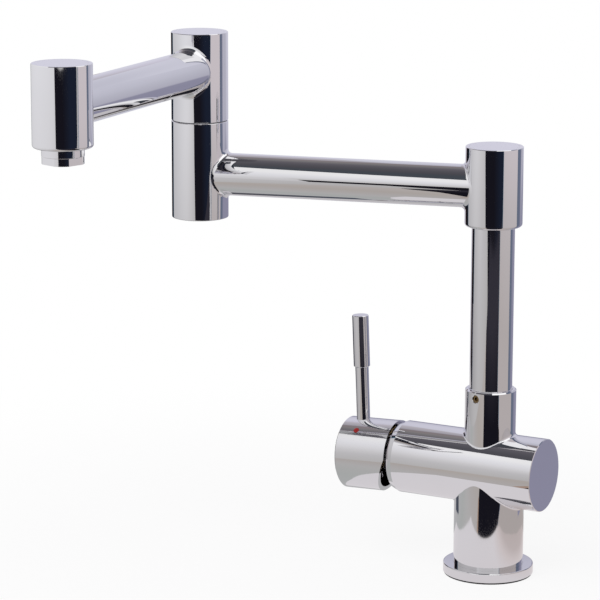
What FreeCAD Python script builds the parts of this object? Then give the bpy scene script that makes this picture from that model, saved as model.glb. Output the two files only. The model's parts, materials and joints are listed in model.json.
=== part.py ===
"""Single-lever pot filler for one deck hole, with a double-jointed folding arm.

Millimetres. The origin is on the deck, on the axis of the base column. +Z is up, and X runs
along the valve barrel, with its plain end at +X and the handle at -X. The arms and the lever
stand where they rest: the lever closed, the arms partly folded.
"""

import FreeCAD, Part
import math
import os

Vector = FreeCAD.Vector
UP = Vector(0, 0, 1)
ALONG = Vector(1, 0, 0)
ACROSS = Vector(0, 1, 0)

# ---------------------------------------------------------------- clearances
running = 0.05              # radial play of a shaft that turns in its bore
seated = 0.05               # radial play of a piece that is pressed, screwed or dropped in place
end_float = 0.3             # axial play of a piece that turns against another

# ---------------------------------------------------------------- deck foot
gasket_od = 58.0
gasket_thickness = 1.2
flange_od = 59.5
flange_thickness = 6.1
flange_edge_radius = 0.8

# ---------------------------------------------------------------- body: column, barrel, collar
column_od = 46.0
column_wall = 3.0
column_fillet = 1.5
axis_height = 71.2          # deck to the barrel's axis
barrel_od = 48.0
barrel_left = 65.0          # column axis to the barrel's open end
barrel_right = 39.1         # column axis to the barrel's plain end
barrel_end_wall = 6.0
barrel_edge = 0.4
shoulder_length = 4.0       # long bevel round the open end
shoulder_drop = 1.6
collar_wall = 2.7
collar_height = 30.2        # above the barrel's crown
collar_edge = 0.8
collar_mouth = 0.5          # bevel inside the collar's top
collar_fillet = 2.0

# ---------------------------------------------------------------- waterways in the body
roof_thickness = 5.2        # from the barrel's underside down to the inlet block
inlet_x = -9.0
inlet_spread = 8.0          # each inlet's distance to the middle plane
inlet_rise = 4.0            # the inlet ports stand this much above the barrel's axis
inlet_bore = 6.0
outlet_drop = 7.0           # the outlet port lies this much below the barrel's axis
outlet_bore = 7.0
chamber_wall = 7.0          # round the mixed-water chamber in the plain end
chamber_start = 5.0

# ---------------------------------------------------------------- inlet block
block_thickness = 12.0
hose_thread_d = 10.0        # M10x1 hose nipples
stud_x = 9.0
stud_thread_d = 8.0         # M8 clamping stud
block_screw_x = 6.0
block_screw_spread = 13.0
block_screw_d = 4.0
block_screw_head_d = 7.0
block_screw_head_h = 4.0
block_screw_grip = 7.5      # thread length in the body
block_socket_across = 3.0
block_socket_depth = 2.0
seal_width = 1.5            # radial width of the flat seals round the ports
seal_thickness = 1.6

# ---------------------------------------------------------------- cartridge
floor_x = -27.0             # bottom of the cartridge's pocket
cartridge_d = 35.0
pocket_play = 0.1
base_thickness = 5.0
disc_d = 30.0
fixed_disc_thickness = 3.5
moving_disc_d = 25.0
moving_disc_thickness = 3.0
disc_film = 0.02            # lubricated gap between the ceramic faces
disc_rest_drop = 1.65       # the moving disc rests this much below the axis
mixing_depth = 1.2
mixing_width = 16.0
mixing_height = 3.8
housing_wall = 2.2
housing_roof = 3.3
housing_neck_wall = 2.4
housing_neck_length = 7.0
driver_d = 20.0
driver_plate = 1.4
tongue_width = 12.0
tongue_length = 15.0
tongue_height = 3.3
rotor_flange_thickness = 5.8
rotor_neck_d = 21.8
rotor_neck_length = 12.0
rotor_seal_section = 1.2
nut_length = 8.5
nut_thread_d = 39.0
nut_notch_width = 4.0
nut_notch_depth = 3.0

# ---------------------------------------------------------------- spindle and its pin
pivot_depth = 23.5          # pin axis, measured from the pocket's floor
pin_d = 3.0
ball_arm = 9.0              # pin to the ball that pushes the disc
ball_d = 5.2
ball_play = 0.2
spindle_neck_d = 3.2
spindle_side = 7.0
spindle_heel = 3.5          # square body reaches this far inside the pin
spindle_reach = 43.0        # pin to the spindle's outer end
slot_play = 0.3             # between the tipped spindle and the ends of its slot

# ---------------------------------------------------------------- handle
lever_lean = 2.4            # degrees; the closed handle leans this much away from the barrel
lever_lift = 22.0           # degrees that it tips further to open fully
rim_gap = 1.3               # between the barrel's end and the handle's rim
handle_length = 36.5
handle_wall = 2.8
handle_end_wall = 4.0
handle_edge = 0.5
relief_above = 3.0          # the rim's undercut starts this much above the axis
relief_angle = 20.5
boss_d = 22.0
boss_length = 25.0
lever_inset = 10.5          # lever axis to the handle's outer end
lever_pad_d = 14.0
lever_rod_d = 9.0
lever_thread_d = 6.0
lever_thread_end = 7.5      # the thread stops this far from the axis
lever_seat_depth = 1.6
lever_step = 59.6           # above the axis: where the grip starts
lever_top = 94.6
lever_grip_d = 11.0
lever_grip_edge = 0.4
grub_inset = 12.4           # handle screw's axis to the handle's outer end
grub_angle = 52.3           # degrees above the level, on the user's side
grub_d = 4.0
grub_pad_d = 9.0
grub_length = 12.0
grub_socket_depth = 2.0
grub_bite = 0.3             # how far its point enters the spindle's corner
index_thickness = 3.6
index_rise = 0.2

# ---------------------------------------------------------------- riser
tube_od = 28.0              # the riser and both arms
tube_wall = 2.0
riser_engage = 22.0         # riser inside the collar
riser_shown = 108.0         # collar top to the knuckle's underside
spigot_tail = 17.2          # sealing part below the riser
spigot_tail_wall = 3.5
spigot_flange = 3.0
spigot_plug = 15.0
thrust_washer_thickness = 0.8
tail_room = 3.0
o_ring_section = 2.0
o_ring_groove_width = 2.6
first_groove_up = 3.4       # from the tail's end to the first groove
groove_pitch = 6.0
riser_screw_d = 5.0
riser_screw_drop = 4.6      # below the collar's top
riser_screw_heading = -101.6
riser_screw_tip_d = 3.4
riser_screw_tip = 0.9
riser_screw_sunk = 1.0      # its socket end lies this far inside the collar's outside
riser_screw_sink = 0.35     # bevel round the mouth of its hole
riser_socket_depth = 1.3
stop_groove_depth = 1.0
stop_groove_width = 3.8

# ---------------------------------------------------------------- arms
knuckle_od = 37.5           # every upright sleeve
sleeve_wall = 2.5
sleeve_edge = 0.3
sleeve_round = 2.0          # lower edge of the first knuckle and of the spout head
column_round = 0.6          # lower edge of the middle column
knuckle_above = 26.7        # above the lower arm's axis
knuckle_below = 25.4
riser_socket = 11.0
riser_ledge = 1.5
lower_arm_reach = 198.0
lower_arm_heading = 193.25
lower_arm_fillet = 3.0
elbow_below = 29.3          # middle column, below the lower arm's axis
elbow_above = 35.2          # and above it, up to the joint
elbow_washer_thickness = 0.6
elbow_washer_inset = 0.8    # inside the sleeves' outside
elbow_head = 18.0           # solid, threaded part of the lower sleeve
elbow_thread_d = 27.0
upper_arm_rise = 33.2       # from the upper column's foot to the upper arm's axis
upper_column_above = 24.9
upper_arm_reach = 183.6
upper_arm_heading = -86.6
upper_arm_flare = 4.0
head_fillet = 2.0
head_above = 26.7
head_below = 24.6
cap_thickness = 5.0
cap_seal_section = 1.6

# ---------------------------------------------------------------- middle joint
post_d = 24.0
post_bore = 16.0
post_height = 22.6          # above the washer
post_first_groove = 4.0
bush_length = 17.4
ring_thickness = 1.2
ring_width = 3.0
ring_groove_depth = 1.1

# ---------------------------------------------------------------- spout outlet
outlet_floor = 7.0          # thickness of the head's lower end
adapter_thread_d = 24.0     # M24x1, in the head
adapter_od = 26.4
adapter_collar = 5.2
adapter_ledge = 1.2
adapter_short = 1.0         # the adapter stops this far under the head's inner floor
aerator_thread_d = 21.0     # in the adapter
aerator_od = 26.0
aerator_skirt = 4.6
aerator_flats = 23.6
aerator_turn = -16.7        # heading of the middle of one flat
aerator_wall = 1.5
aerator_lip = 1.0
aerator_edge = 0.3
aerator_washer_thickness = 1.5
washer_land = 2.5
insert_wall = 2.2
insert_bridge = 1.2
screen_thickness = 0.6
screen_pitch = 2.1
screen_hole_d = 1.4
limiter_thickness = 2.4
limiter_bore = 6.0

# ---------------------------------------------------------------- worked out from the above
flange_top = gasket_thickness + flange_thickness
column_r = column_od / 2
column_bore_r = column_r - column_wall
barrel_r = barrel_od / 2
tube_r = tube_od / 2
tube_bore_r = tube_r - tube_wall
knuckle_r = knuckle_od / 2
sleeve_bore_r = knuckle_r - sleeve_wall
socket_r = tube_r + running
collar_r = socket_r + collar_wall
collar_top = axis_height + barrel_r + collar_height
riser_seat = collar_top - riser_engage
block_top = axis_height - barrel_r - roof_thickness
block_bottom = block_top - block_thickness
pocket_r = cartridge_d / 2 + pocket_play
pivot = Vector(floor_x - pivot_depth, 0, axis_height)
discs_end = base_thickness + fixed_disc_thickness + disc_film + moving_disc_thickness
driver_end = discs_end + driver_plate + tongue_height
rotor_start = discs_end + driver_plate + 0.1
rotor_flange_end = rotor_start + rotor_flange_thickness
housing_roof_start = rotor_flange_end + end_float
housing_end = housing_roof_start + housing_roof
rotor_end = rotor_flange_end + rotor_neck_length
disc_bore_r = disc_d / 2 + 0.2
rotor_r = disc_d / 2 - 0.1
rotor_neck_r = rotor_neck_d / 2
neck_bore_r = rotor_neck_r + 0.2
neck_outer_r = neck_bore_r + housing_neck_wall
tipped = math.radians(lever_lean + lever_lift)
slot_down = (
    (rotor_end - pivot_depth) * math.tan(tipped) + spindle_side / 2 / math.cos(tipped) + slot_play
)
slot_up = slot_play + max(
    ball_arm * math.sin(tipped) + ball_d / 2,
    spindle_heel * math.sin(tipped) + spindle_side / 2 * math.cos(tipped),
)
handle_rim_x = -barrel_left - rim_gap
handle_end_x = handle_rim_x - handle_length
handle_bore_r = barrel_r - handle_wall
lever_x = handle_end_x + lever_inset
grub_x = handle_end_x + grub_inset
spigot_r = tube_bore_r
tail_end = riser_seat - spigot_tail
lower_arm_z = collar_top + riser_shown + knuckle_below
knuckle_bottom = lower_arm_z - knuckle_below
knuckle_top = lower_arm_z + knuckle_above
riser_top = knuckle_bottom + riser_socket
elbow = Vector(
    lower_arm_reach * math.cos(math.radians(lower_arm_heading)),
    lower_arm_reach * math.sin(math.radians(lower_arm_heading)),
    0,
)
elbow_bottom = lower_arm_z - elbow_below
joint_z = lower_arm_z + elbow_above
upper_column_bottom = joint_z + elbow_washer_thickness
upper_arm_z = upper_column_bottom + upper_arm_rise
upper_column_top = upper_arm_z + upper_column_above
head = elbow + Vector(
    upper_arm_reach * math.cos(math.radians(upper_arm_heading)),
    upper_arm_reach * math.sin(math.radians(upper_arm_heading)),
    0,
)
head_top = upper_arm_z + head_above
head_bottom = upper_arm_z - head_below
adapter_bottom = head_bottom - adapter_collar
aerator_bottom = adapter_bottom - aerator_skirt
aerator_bore_r = aerator_thread_d / 2 - aerator_wall
adapter_top = head_bottom + outlet_floor - adapter_short
aerator_top = adapter_top - adapter_ledge - aerator_washer_thickness


# ---------------------------------------------------------------- helpers
def at(place, z):
    """The point at height z over a plan position."""
    return Vector(place.x, place.y, z)


def upright(radius, low, high, place=Vector(0, 0, 0)):
    """A vertical cylinder between two heights."""
    return Part.makeCylinder(radius, high - low, at(place, low), UP)


def upright_ring(outer, inner, low, high, place=Vector(0, 0, 0)):
    """A vertical ring between two heights."""
    return upright(outer, low, high, place).cut(upright(inner, low, high, place))


def level(radius, left, right, y=0.0, rise=0.0):
    """A cylinder along X between two places, offset from the barrel's axis."""
    return Part.makeCylinder(radius, right - left, Vector(left, y, axis_height + rise), ALONG)


def stacked(radius, near, far, y=0.0, rise=0.0):
    """A cylinder in the cartridge, between two depths counted outwards from the pocket's floor."""
    return level(radius, floor_x - far, floor_x - near, y, rise)


def box(x_low, x_high, y_low, y_high, z_low, z_high):
    """A block between two corners."""
    corner = Vector(x_low, y_low, z_low)
    return Part.makeBox(x_high - x_low, y_high - y_low, z_high - z_low, corner)


def fuse_all(shapes):
    """One clean solid from shapes that overlap."""
    return shapes[0].fuse(shapes[1:]).removeSplitter()


def grouped(shapes):
    """Several separate solids in one node."""
    return Part.makeCompound(shapes)


def distance_to_line(point, origin, direction):
    """How far a point lies from a line."""
    return (point - origin).cross(direction).Length / direction.Length


def crossing_edges(shape, first, second):
    """The edges where two cylinders, each an (origin, direction, radius), meet."""
    found = []
    for edge in shape.Edges:
        start, end = edge.ParameterRange
        points = [edge.valueAt(start + (end - start) * share) for share in (0.15, 0.4, 0.65, 0.9)]
        on_both = all(
            abs(distance_to_line(point, origin, direction) - radius) < 0.02
            for point in points
            for origin, direction, radius in (first, second)
        )
        if on_both:
            found.append(edge)
    return found


def rim_edges(shape, radius, z, place=Vector(0, 0, 0)):
    """The round edges of one radius at one height."""
    return [
        edge
        for edge in shape.Edges
        if edge.Curve.TypeId == "Part::GeomCircle"
        and abs(edge.Curve.Radius - radius) < 0.01
        and (edge.Curve.Center - at(place, z)).Length < 0.01
    ]


def o_ring(centre_r, section, place, direction=UP):
    """A round seal: section is the rubber's thickness."""
    return Part.makeTorus(centre_r, section / 2, place, direction)


def leaned(shape):
    """Turns a handle piece from straight to its resting lean."""
    turned = shape.copy()
    turned.rotate(pivot, Vector(0, -1, 0), lever_lean)
    return turned


def export(name, shape):
    """Writes one sub-part."""
    shape.exportStep("parts/" + name + ".step")


# ---------------------------------------------------------------- deck foot and body
def base_gasket():
    """Rubber ring between the flange and the deck."""
    return upright_ring(gasket_od / 2, column_bore_r, 0, gasket_thickness)


def base_flange():
    """Loose ring that stands round the column's foot."""
    ring = upright_ring(flange_od / 2, column_r + seated, gasket_thickness, flange_top)
    return ring.makeFillet(flange_edge_radius, rim_edges(ring, flange_od / 2, flange_top))


def base_column():
    """Plain tube that carries the body; it is welded to it and polished over."""
    return upright_ring(column_r, column_bore_r, gasket_thickness, block_top)


def body_outside():
    """The polished outside of the column's head, the barrel and the collar, blended together."""
    barrel = level(barrel_r, -barrel_left, barrel_right)
    barrel = barrel.makeChamfer(barrel_edge, [
        edge for edge in barrel.Edges
        if edge.Curve.TypeId == "Part::GeomCircle" and edge.CenterOfMass.x > 0
    ])
    shoulder = Part.makeCone(
        barrel_r - shoulder_drop, barrel_r, shoulder_length,
        Vector(-barrel_left, 0, axis_height), ALONG,
    )
    sleeve = level(barrel_r, -barrel_left, shoulder_length - barrel_left)
    barrel = barrel.cut(sleeve.cut(shoulder))
    column = upright(column_r, block_top, axis_height)
    collar = upright(collar_r, axis_height, collar_top)
    outside = fuse_all([barrel, column, collar])
    axis_point = Vector(0, 0, axis_height)
    barrel_line = (axis_point, ALONG, barrel_r)
    collar_seam = crossing_edges(outside, barrel_line, (axis_point, UP, collar_r))
    outside = outside.makeFillet(collar_fillet, collar_seam)
    column_seam = crossing_edges(outside, barrel_line, (axis_point, UP, column_r))
    outside = outside.makeFillet(column_fillet, column_seam)
    return outside.makeChamfer(collar_edge, rim_edges(outside, collar_r, collar_top))


def body_waterways():
    """Everything that is bored out of the body."""
    pocket = level(pocket_r, -barrel_left, floor_x)
    nut_thread = level(nut_thread_d / 2, -barrel_left, floor_x - housing_end)
    chamber = level(barrel_r - chamber_wall, chamber_start, barrel_right - barrel_end_wall)
    outlet = level(outlet_bore / 2, floor_x, chamber_start, 0.0, -outlet_drop)
    tail_bore = upright(spigot_r + running, tail_end - tail_room, collar_top)
    riser_bore = upright(socket_r, riser_seat, collar_top)
    cuts = [pocket, nut_thread, chamber, outlet, tail_bore, riser_bore]
    for side in (-1, 1):
        y = side * inlet_spread
        foot = Vector(inlet_x, y, 0)
        cuts.append(upright(inlet_bore / 2, block_top, axis_height + inlet_rise, foot))
        cuts.append(level(inlet_bore / 2, floor_x, inlet_x, y, inlet_rise))
        screw_place = Vector(block_screw_x, side * block_screw_spread, 0)
        cuts.append(
            upright(block_screw_d / 2, block_top, block_top + block_screw_grip + 0.5, screw_place)
        )
    cuts.append(riser_screw_shape(riser_screw_d / 2, tube_r - riser_screw_tip, collar_r + 1))
    cuts.append(Part.makeCone(
        socket_r, socket_r + collar_mouth, collar_mouth, Vector(0, 0, collar_top - collar_mouth)
    ))
    cuts.append(riser_screw_bevel())
    return cuts


def valve_body():
    """Barrel and collar in one piece, with the cartridge's pocket and the waterways."""
    return body_outside().cut(body_waterways())


def riser_screw_shape(radius, inner, outer):
    """A radial cylinder in the collar, along the riser screw's axis."""
    heading = math.radians(riser_screw_heading)
    direction = Vector(math.cos(heading), math.sin(heading), 0)
    start = direction * inner + Vector(0, 0, collar_top - riser_screw_drop)
    return Part.makeCylinder(radius, outer - inner, start, direction)


def riser_screw_bevel():
    """The bevel round the mouth of the riser screw's hole; its cone runs on past the collar."""
    heading = math.radians(riser_screw_heading)
    direction = Vector(math.cos(heading), math.sin(heading), 0)
    start = direction * (collar_r - riser_screw_sink) + Vector(0, 0, collar_top - riser_screw_drop)
    near_r = riser_screw_d / 2
    length = 3 * riser_screw_sink
    return Part.makeCone(near_r, near_r + length, length, start, direction)


def hex_socket(across, depth, mouth, inward):
    """The six-sided hole of a socket screw, from its mouth inwards."""
    helper = ACROSS if abs(inward.dot(ACROSS)) < 0.9 else ALONG
    side = inward.cross(helper).normalize()
    other = inward.cross(side).normalize()
    radius = across / 2 / math.cos(math.pi / 6)
    corners = []
    for turn in range(7):
        angle = math.radians(60 * turn)
        corners.append(mouth + side * (radius * math.cos(angle)) + other * (radius * math.sin(angle)))
    return Part.Face(Part.makePolygon(corners)).extrude(inward * depth)


def riser_screw():
    """Socket set screw in the collar; its tip runs in the riser's groove and keeps it down."""
    outer = collar_r - riser_screw_sunk
    thread = riser_screw_shape(riser_screw_d / 2 - seated, socket_r + 0.1, outer)
    tip = riser_screw_shape(riser_screw_tip_d / 2, tube_r - riser_screw_tip, socket_r + 0.2)
    heading = math.radians(riser_screw_heading)
    direction = Vector(math.cos(heading), math.sin(heading), 0)
    mouth = direction * outer + Vector(0, 0, collar_top - riser_screw_drop)
    socket = hex_socket(riser_screw_d / 2, riser_socket_depth, mouth, direction * -1)
    return thread.fuse(tip).removeSplitter().cut(socket)


# ---------------------------------------------------------------- inlet block
def inlet_block():
    """Brass disc in the column that takes both hoses and the clamping stud."""
    block = upright(column_bore_r - seated, block_bottom, block_top)
    cuts = [upright(stud_thread_d / 2, block_bottom, block_top, Vector(stud_x, 0, 0))]
    for side in (-1, 1):
        inlet = Vector(inlet_x, side * inlet_spread, 0)
        cuts.append(upright(hose_thread_d / 2, block_bottom, block_top, inlet))
        cuts.append(
            upright(hose_thread_d / 2 + seal_width + seated, block_top - seal_thickness, block_top, inlet)
        )
        screw = Vector(block_screw_x, side * block_screw_spread, 0)
        cuts.append(upright(block_screw_d / 2 + 0.2, block_bottom, block_top, screw))
        head_seat = block_bottom + block_screw_head_h + 0.2
        cuts.append(upright(block_screw_head_d / 2 + 0.2, block_bottom, head_seat, screw))
    return block.cut(cuts)


def inlet_block_seals():
    """Two flat rubber rings between the block and the body, round the hose threads' ends."""
    seals = []
    for side in (-1, 1):
        place = Vector(inlet_x, side * inlet_spread, 0)
        outer = hose_thread_d / 2 + seal_width
        seals.append(upright_ring(outer, hose_thread_d / 2, block_top - seal_thickness, block_top, place))
    return grouped(seals)


def inlet_block_screws():
    """Two socket head screws that hold the block up against the body."""
    screws = []
    for side in (-1, 1):
        place = Vector(block_screw_x, side * block_screw_spread, 0)
        head_low = block_bottom + 0.2
        head_high = head_low + block_screw_head_h
        head_shape = upright(block_screw_head_d / 2, head_low, head_high, place)
        shank = upright(block_screw_d / 2 - seated, head_high, block_top + block_screw_grip, place)
        socket = hex_socket(block_socket_across, block_socket_depth, at(place, head_low), UP)
        screws.append(head_shape.fuse(shank).removeSplitter().cut(socket))
    return grouped(screws)


# ---------------------------------------------------------------- cartridge
def port_places():
    """Each port's offset across, its rise over the axis and its bore radius."""
    return [
        (-inlet_spread, inlet_rise, inlet_bore / 2),
        (inlet_spread, inlet_rise, inlet_bore / 2),
        (0.0, -outlet_drop, outlet_bore / 2),
    ]


def cartridge_base():
    """Plastic foot of the cartridge, with three ports and a recess for each port's seal."""
    base = stacked(cartridge_d / 2, 0, base_thickness)
    for y, rise, radius in port_places():
        base = base.cut(stacked(radius, 0, base_thickness, y, rise))
        base = base.cut(stacked(radius + seal_width + seated, 0, seal_thickness, y, rise))
    return base


def cartridge_port_seals():
    """Three rubber rings against the pocket's floor."""
    return grouped([
        stacked(radius + seal_width, 0, seal_thickness, y, rise).cut(
            stacked(radius, 0, seal_thickness, y, rise)
        )
        for y, rise, radius in port_places()
    ])


def fixed_disc():
    """Lower ceramic disc, with the three ports."""
    disc = stacked(disc_d / 2, base_thickness, base_thickness + fixed_disc_thickness)
    for y, rise, radius in port_places():
        disc = disc.cut(stacked(radius, base_thickness, base_thickness + fixed_disc_thickness, y, rise))
    return disc


def moving_disc():
    """Upper ceramic disc: the hollow in its face joins the inlets to the outlet when it slides up."""
    near = base_thickness + fixed_disc_thickness + disc_film
    disc = stacked(moving_disc_d / 2, near, discs_end, 0.0, -disc_rest_drop)
    closed_line = inlet_rise - inlet_bore / 2 - 0.4
    wide_part = box(
        floor_x - near - mixing_depth, floor_x - near,
        -mixing_width / 2, mixing_width / 2,
        axis_height + closed_line - mixing_height, axis_height + closed_line,
    )
    round_part = stacked(outlet_bore / 2 + 0.8, near, near + mixing_depth, 0.0, 1.0 - outlet_drop)
    return disc.cut([wide_part, round_part])


def disc_driver():
    """Plastic slide on the moving disc: its tongue runs in the rotor, its socket takes the ball."""
    plate = stacked(driver_d / 2, discs_end, discs_end + driver_plate, 0.0, -disc_rest_drop)
    middle = axis_height - disc_rest_drop
    tongue = box(
        floor_x - driver_end, floor_x - discs_end - driver_plate,
        -tongue_width / 2, tongue_width / 2,
        middle - tongue_length / 2, middle + tongue_length / 2,
    )
    ball_z = ball_arm * math.sin(math.radians(lever_lean))
    ball_near = pivot_depth - ball_arm - ball_d / 2 - ball_play
    socket = stacked(ball_d / 2 + ball_play, ball_near, driver_end, 0.0, ball_z)
    return plate.fuse(tongue).removeSplitter().cut(socket)


def cartridge_housing():
    """Plastic shell of the cartridge: a cup over the discs, with a neck that guides the rotor."""
    cup = stacked(cartridge_d / 2, base_thickness, housing_end)
    neck = stacked(neck_outer_r, housing_end, housing_end + housing_neck_length)
    hollow = stacked(disc_bore_r, base_thickness, housing_roof_start)
    bore = stacked(neck_bore_r, base_thickness, housing_end + housing_neck_length)
    return cup.fuse(neck).removeSplitter().cut([hollow, bore])


def seal_groove_depth():
    """Depth in the cartridge of the rotor seal's middle."""
    return housing_end + housing_neck_length / 2


def cartridge_rotor():
    """Turns with the handle: a flange that leads the driver, and a neck that holds the pin."""
    flange = stacked(rotor_r, rotor_start, rotor_flange_end)
    neck = stacked(rotor_neck_r, rotor_flange_end, rotor_end)
    guide = box(
        floor_x - driver_end - 0.3, floor_x - rotor_start,
        -tongue_width / 2 - 0.1, tongue_width / 2 + 0.1,
        axis_height - disc_d, axis_height + disc_d,
    )
    slot = box(
        floor_x - rotor_end, floor_x - rotor_start,
        -spindle_side / 2 - 0.2, spindle_side / 2 + 0.2,
        axis_height - slot_down, axis_height + slot_up,
    )
    pin_hole = Part.makeCylinder(
        pin_d / 2 + seated / 2, 2 * rotor_neck_r, pivot - ACROSS * rotor_neck_r, ACROSS
    )
    depth = seal_groove_depth()
    half = rotor_seal_section / 2 + 0.2
    groove = stacked(rotor_neck_r, depth - half, depth + half).cut(
        stacked(rotor_neck_r - rotor_seal_section, depth - half, depth + half)
    )
    return flange.fuse(neck).removeSplitter().cut([guide, slot, pin_hole, groove])


def rotor_o_ring():
    """Seal between the rotor and the housing's neck."""
    centre_r = rotor_neck_r - rotor_seal_section / 2
    place = Vector(floor_x - seal_groove_depth(), 0, axis_height)
    return o_ring(centre_r, rotor_seal_section, place, ALONG)


def spindle_pin():
    """Steel pin that the spindle tilts on."""
    half = rotor_neck_r - 0.9
    return Part.makeCylinder(pin_d / 2, 2 * half, pivot - ACROSS * half, ACROSS)


def cartridge_nut():
    """Brass ring screwed into the barrel's mouth, with four notches for its key."""
    far = housing_end + nut_length
    nut = stacked(nut_thread_d / 2 - seated, housing_end, far)
    nut = nut.cut(stacked(neck_outer_r + 0.2, housing_end, far))
    half = nut_notch_width / 2
    reach = nut_thread_d / 2 + 1
    for low_y, high_y, low_z, high_z in (
        (-half, half, -reach, reach),
        (-reach, reach, -half, half),
    ):
        nut = nut.cut(box(
            floor_x - far, floor_x - far + nut_notch_depth,
            low_y, high_y, axis_height + low_z, axis_height + high_z,
        ))
    return nut


# ---------------------------------------------------------------- spindle and handle, drawn straight
def radial_in_handle(radius, x, angle, inner, outer):
    """A cylinder square to the handle's axis; angle 90 points up and 0 to the user's side."""
    turn = math.radians(angle)
    direction = Vector(0, -math.cos(turn), math.sin(turn))
    start = Vector(x, 0, axis_height) + direction * inner
    return Part.makeCylinder(radius, outer - inner, start, direction)


def grub_tip_r():
    """How far from the axis the handle screw's point ends, inside the spindle's corner."""
    return spindle_side / 2 - grub_bite + 0.1


def cartridge_spindle():
    """Steel bar on the pin: a ball inside pushes the disc, and the handle sits on its outer end."""
    half = spindle_side / 2
    bar = box(
        pivot.x - spindle_reach, pivot.x + spindle_heel,
        -half, half, axis_height - half, axis_height + half,
    )
    neck = level(spindle_neck_d / 2, pivot.x + spindle_heel, pivot.x + ball_arm)
    ball = Part.makeSphere(ball_d / 2, pivot + ALONG * ball_arm, ALONG)
    pin_hole = Part.makeCylinder(
        pin_d / 2 + running, spindle_side, pivot - ACROSS * half, ACROSS
    )
    dimple = radial_in_handle(grub_d / 2, grub_x, grub_angle, grub_tip_r() - 0.1, spindle_side)
    return leaned(bar.fuse([neck, ball]).removeSplitter().cut([pin_hole, dimple]))


def handle_outside():
    """The handle's turned outside, before its rim is cut."""
    outside = level(barrel_r, handle_end_x, handle_rim_x)
    ends = [
        edge for edge in outside.Edges
        if edge.Curve.TypeId == "Part::GeomCircle" and abs(edge.CenterOfMass.x - handle_end_x) < 0.01
    ]
    return outside.makeChamfer(handle_edge, ends)


def rim_relief():
    """The wedge that is cut off the lower half of the rim, so that the handle can tip."""
    reach = 2 * barrel_od
    start = Vector(handle_rim_x, -reach / 2, axis_height + relief_above)
    wedge = Part.makeBox(reach, reach, reach, start - Vector(0, 0, reach))
    wedge.rotate(start, Vector(0, -1, 0), -relief_angle)
    return wedge


def handle_cap():
    """Hollow handle: a cup over the barrel's end, with a boss for the spindle inside."""
    outside = handle_outside()
    inner_end = handle_end_x + handle_end_wall
    hollow = level(handle_bore_r, inner_end, handle_rim_x)
    boss = level(boss_d / 2, handle_end_x + handle_edge, inner_end + boss_length)
    lever_pad = radial_in_handle(lever_pad_d / 2, lever_x, 90, 0, barrel_r - handle_wall / 2)
    grub_pad = radial_in_handle(grub_pad_d / 2, grub_x, grub_angle, 0, barrel_r - handle_wall / 2)
    shell = outside.cut(hollow).fuse([boss, lever_pad, grub_pad]).removeSplitter()
    half = spindle_side / 2 + seated
    socket = box(
        pivot.x - spindle_reach - 0.3, inner_end + boss_length,
        -half, half, axis_height - half, axis_height + half,
    )
    lever_seat_r = barrel_r - lever_seat_depth
    cuts = [
        rim_relief(),
        socket,
        radial_in_handle(lever_thread_d / 2, lever_x, 90, lever_thread_end - 0.5, barrel_r),
        radial_in_handle(lever_rod_d / 2 + seated, lever_x, 90, lever_seat_r, barrel_r + 1),
        radial_in_handle(grub_d / 2, grub_x, grub_angle, 0, barrel_r + 1),
    ]
    return leaned(shell.cut(cuts))


def lever_rod():
    """Thin rod of the lever, screwed into the handle."""
    seat_r = barrel_r - lever_seat_depth
    thread = radial_in_handle(lever_thread_d / 2 - seated, lever_x, 90, lever_thread_end, seat_r)
    rod = radial_in_handle(lever_rod_d / 2, lever_x, 90, seat_r, lever_step)
    tenon = radial_in_handle(
        lever_thread_d / 2 - seated, lever_x, 90, lever_step, lever_step + lever_rod_d
    )
    return leaned(thread.fuse([rod, tenon]).removeSplitter())


def lever_grip():
    """Thicker end of the lever, screwed onto the rod."""
    grip = radial_in_handle(lever_grip_d / 2, lever_x, 90, lever_step, lever_top)
    grip = grip.makeChamfer(lever_grip_edge, [
        edge for edge in grip.Edges if edge.Curve.TypeId == "Part::GeomCircle"
    ])
    hole = radial_in_handle(
        lever_thread_d / 2, lever_x, 90, lever_step, lever_step + lever_rod_d + 0.5
    )
    return leaned(grip.cut(hole))


def handle_grub_screw():
    """Set screw through the handle's boss into the spindle's corner."""
    tip_r = grub_tip_r()
    screw = radial_in_handle(grub_d / 2 - seated, grub_x, grub_angle, tip_r, tip_r + grub_length)
    turn = math.radians(grub_angle)
    direction = Vector(0, -math.cos(turn), math.sin(turn))
    mouth = Vector(grub_x, 0, axis_height) + direction * (tip_r + grub_length)
    socket = hex_socket(grub_d / 2, grub_socket_depth, mouth, direction * -1)
    return leaned(screw.cut(socket))


def index_button():
    """Coloured plug over the handle screw; it marks the hot side."""
    outer = barrel_r + index_rise
    plug = radial_in_handle(grub_d / 2 - seated, grub_x, grub_angle, outer - index_thickness, outer)
    edge_top = [
        edge for edge in plug.Edges
        if edge.Curve.TypeId == "Part::GeomCircle"
        and distance_to_line(edge.CenterOfMass, Vector(0, 0, axis_height), ALONG) > outer - 0.1
    ]
    return leaned(plug.makeFillet(index_rise, edge_top))


# ---------------------------------------------------------------- riser and first joint
def groove_heights():
    """The middles of the two seal grooves in the riser's spigot."""
    first = tail_end + first_groove_up
    return [first, first + groove_pitch]


def seal_groove(outer, z, place=Vector(0, 0, 0)):
    """A groove for a round seal in an upright post."""
    half = o_ring_groove_width / 2
    return upright_ring(outer + 1, outer - o_ring_section, z - half, z + half, place)


def riser_washer():
    """Slippery ring that carries the riser on the collar's seat."""
    return upright_ring(
        tube_r - running, spigot_r + 0.1, riser_seat, riser_seat + thrust_washer_thickness
    )


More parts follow.
